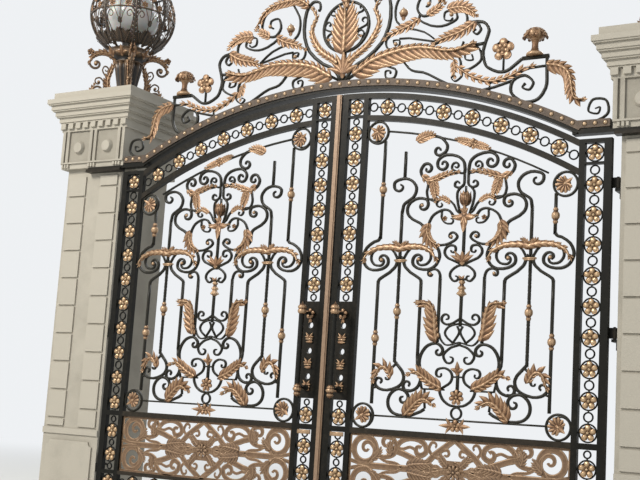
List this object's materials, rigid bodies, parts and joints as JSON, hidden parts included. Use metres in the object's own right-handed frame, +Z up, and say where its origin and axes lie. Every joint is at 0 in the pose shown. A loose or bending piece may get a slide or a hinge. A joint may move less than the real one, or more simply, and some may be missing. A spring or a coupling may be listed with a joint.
{
  "type": "wrought iron driveway gate",
  "caption": "Arched double-leaf wrought iron driveway gate with scrollwork, a crested overthrow, masonry piers and globe lamps in cages.",
  "frame": {"origin": "middle of the left pier's underside, on the ground", "axes": "+X from the left pier to the right pier, +Y inwards through the gateway, +Z up; the front of the closed leaves faces -Y"},
  "size_m": [5.038, 0.836, 4.1504],
  "materials": {
    "stone": "pale cast stone, matt",
    "dark_iron": "dark green-black paint, satin",
    "bronzed_iron": "bronze-brown paint, satin",
    "gilding": "rubbed copper-gold paint over iron",
    "brass": "bright brass paint, satin",
    "lamp_glass": "opal glass"
  },
  "bodies": {
    "gateway": {"left_pier_plinth": "stone", "left_pier_shaft": "stone", "left_pier_frieze": "stone", "left_pier_cornice": "stone", "left_lamp_socle": "dark_iron", "left_lamp_cage": "gilding", "left_lamp_globe": "lamp_glass", "left_hinge_pintles": "dark_iron", "right_pier_plinth": "stone", "right_pier_shaft": "stone", "right_pier_frieze": "stone", "right_pier_cornice": "stone", "right_lamp_socle": "dark_iron", "right_lamp_cage": "gilding", "right_lamp_globe": "lamp_glass", "right_hinge_pintles": "dark_iron", "overthrow_beam": "bronzed_iron", "overthrow_stud_band": "brass", "crest_scrolls": "dark_iron", "crest_foliage": "gilding", "crest_wreath_palmette": "gilding", "crest_finials": "gilding"},
    "left_leaf": {"left_leaf_hinge_stile": "bronzed_iron", "left_leaf_meeting_stile": "bronzed_iron", "left_leaf_arched_rail": "bronzed_iron", "left_leaf_rails": "bronzed_iron", "left_leaf_rings": "dark_iron", "left_leaf_rosettes": "brass", "left_leaf_scrollwork": "dark_iron", "left_leaf_foliage": "gilding", "left_leaf_collars": "gilding", "left_leaf_strapwork": "bronzed_iron", "left_leaf_lock_plate": "dark_iron", "left_leaf_handle": "bronzed_iron", "meeting_cover_strip": "bronzed_iron"},
    "right_leaf": {"right_leaf_hinge_stile": "bronzed_iron", "right_leaf_meeting_stile": "bronzed_iron", "right_leaf_arched_rail": "bronzed_iron", "right_leaf_rails": "bronzed_iron", "right_leaf_rings": "dark_iron", "right_leaf_rosettes": "brass", "right_leaf_scrollwork": "dark_iron", "right_leaf_foliage": "gilding", "right_leaf_collars": "gilding", "right_leaf_strapwork": "bronzed_iron", "right_leaf_lock_plate": "dark_iron", "right_leaf_handle": "bronzed_iron"}
  },
  "joints": [
    {"name": "left_leaf_hinge", "type": "hinge", "parent": "gateway", "child": "left_leaf", "pos_m": [0.282, -0.248, 0], "axis": [0, 0, 1], "range_deg": [0, 80]},
    {"name": "right_leaf_hinge", "type": "hinge", "parent": "gateway", "child": "right_leaf", "pos_m": [3.934, -0.248, 0], "axis": [0, 0, -1], "range_deg": [0, 80]}
  ]
}
